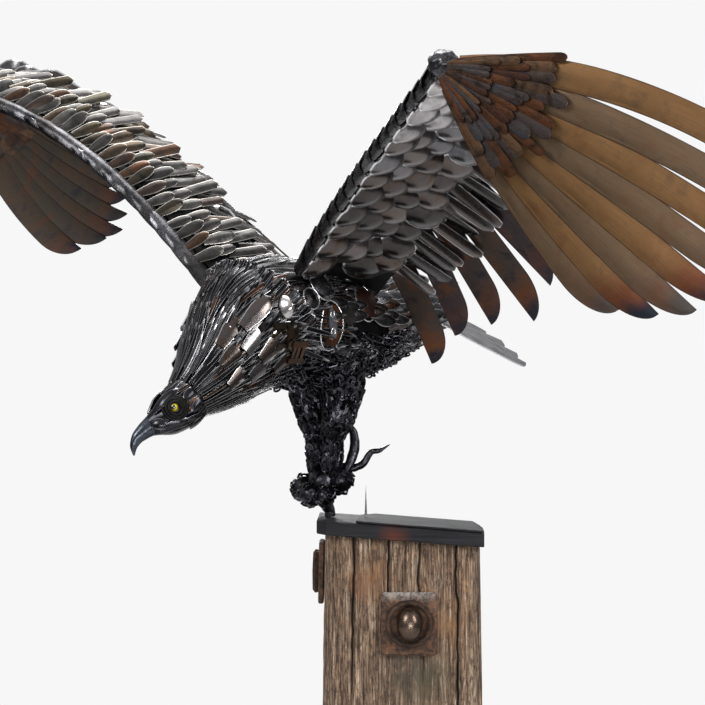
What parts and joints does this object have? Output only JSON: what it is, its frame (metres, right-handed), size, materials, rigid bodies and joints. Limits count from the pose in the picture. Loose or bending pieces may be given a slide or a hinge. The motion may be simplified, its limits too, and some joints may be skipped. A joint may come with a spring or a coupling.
{
  "type": "scrap metal eagle sculpture",
  "caption": "Life-size eagle of scrap steel with spread wings, diving off one claw on a capped square timber post that carries it",
  "frame": {"origin": "centre of the post's flat underside", "axes": "-Z is the way the underside faces; +X is the eagle's left and the longest extent; the eagle flies toward -Y"},
  "size_m": [1.7823, 0.8181, 1.3168],
  "materials": {
    "weathered_timber": "matte",
    "dark_cap": "satin",
    "rusty_iron": "matte",
    "dark_steel": "satin",
    "black_steel": "satin",
    "bright_steel": "satin",
    "heat_tinted_steel": "satin",
    "yellow_eye": "gloss"
  },
  "bodies": {
    "root": {"timber_post": "weathered_timber", "cap_slab": "dark_cap", "cap_top_sheet": "dark_cap", "cap_spike": "dark_steel", "front_washer_plate": "rusty_iron", "front_round_washer": "rusty_iron", "front_nut": "rusty_iron", "side_washer_plate": "rusty_iron", "side_bolt_head": "rusty_iron", "body": "dark_steel", "neck": "dark_steel", "head": "dark_steel", "beak": "black_steel", "left_eye": "yellow_eye", "right_eye": "yellow_eye", "left_leg": "black_steel", "right_leg": "black_steel", "clenched_feet": "black_steel", "standing_claw": "black_steel", "raised_talon": "black_steel", "big_claw": "black_steel", "left_wing_arm": "dark_steel", "left_wing_skin": "bright_steel", "left_secondary_1": "heat_tinted_steel", "left_secondary_2": "heat_tinted_steel", "left_secondary_3": "heat_tinted_steel", "left_secondary_4": "heat_tinted_steel", "left_secondary_5": "heat_tinted_steel", "left_secondary_6": "heat_tinted_steel", "left_primary_1": "heat_tinted_steel", "left_primary_2": "heat_tinted_steel", "left_primary_3": "heat_tinted_steel", "left_primary_4": "heat_tinted_steel", "left_primary_5": "heat_tinted_steel", "left_primary_6": "heat_tinted_steel", "left_primary_7": "heat_tinted_steel", "left_primary_8": "heat_tinted_steel", "left_wing_coverts": "heat_tinted_steel", "left_wrist_knob": "dark_steel", "right_wing_arm": "dark_steel", "right_wing_skin": "bright_steel", "right_secondary_1": "heat_tinted_steel", "right_secondary_2": "heat_tinted_steel", "right_secondary_3": "heat_tinted_steel", "right_secondary_4": "heat_tinted_steel", "right_secondary_5": "heat_tinted_steel", "right_primary_1": "heat_tinted_steel", "right_primary_2": "heat_tinted_steel", "right_primary_3": "heat_tinted_steel", "right_primary_4": "heat_tinted_steel", "right_primary_5": "heat_tinted_steel", "right_primary_6": "heat_tinted_steel", "right_primary_7": "heat_tinted_steel", "right_primary_8": "heat_tinted_steel", "right_wing_coverts": "heat_tinted_steel", "tail_feather_1": "bright_steel", "tail_feather_2": "bright_steel", "tail_feather_3": "bright_steel", "tail_feather_4": "bright_steel", "tail_feather_5": "bright_steel"}
  },
  "joints": []
}
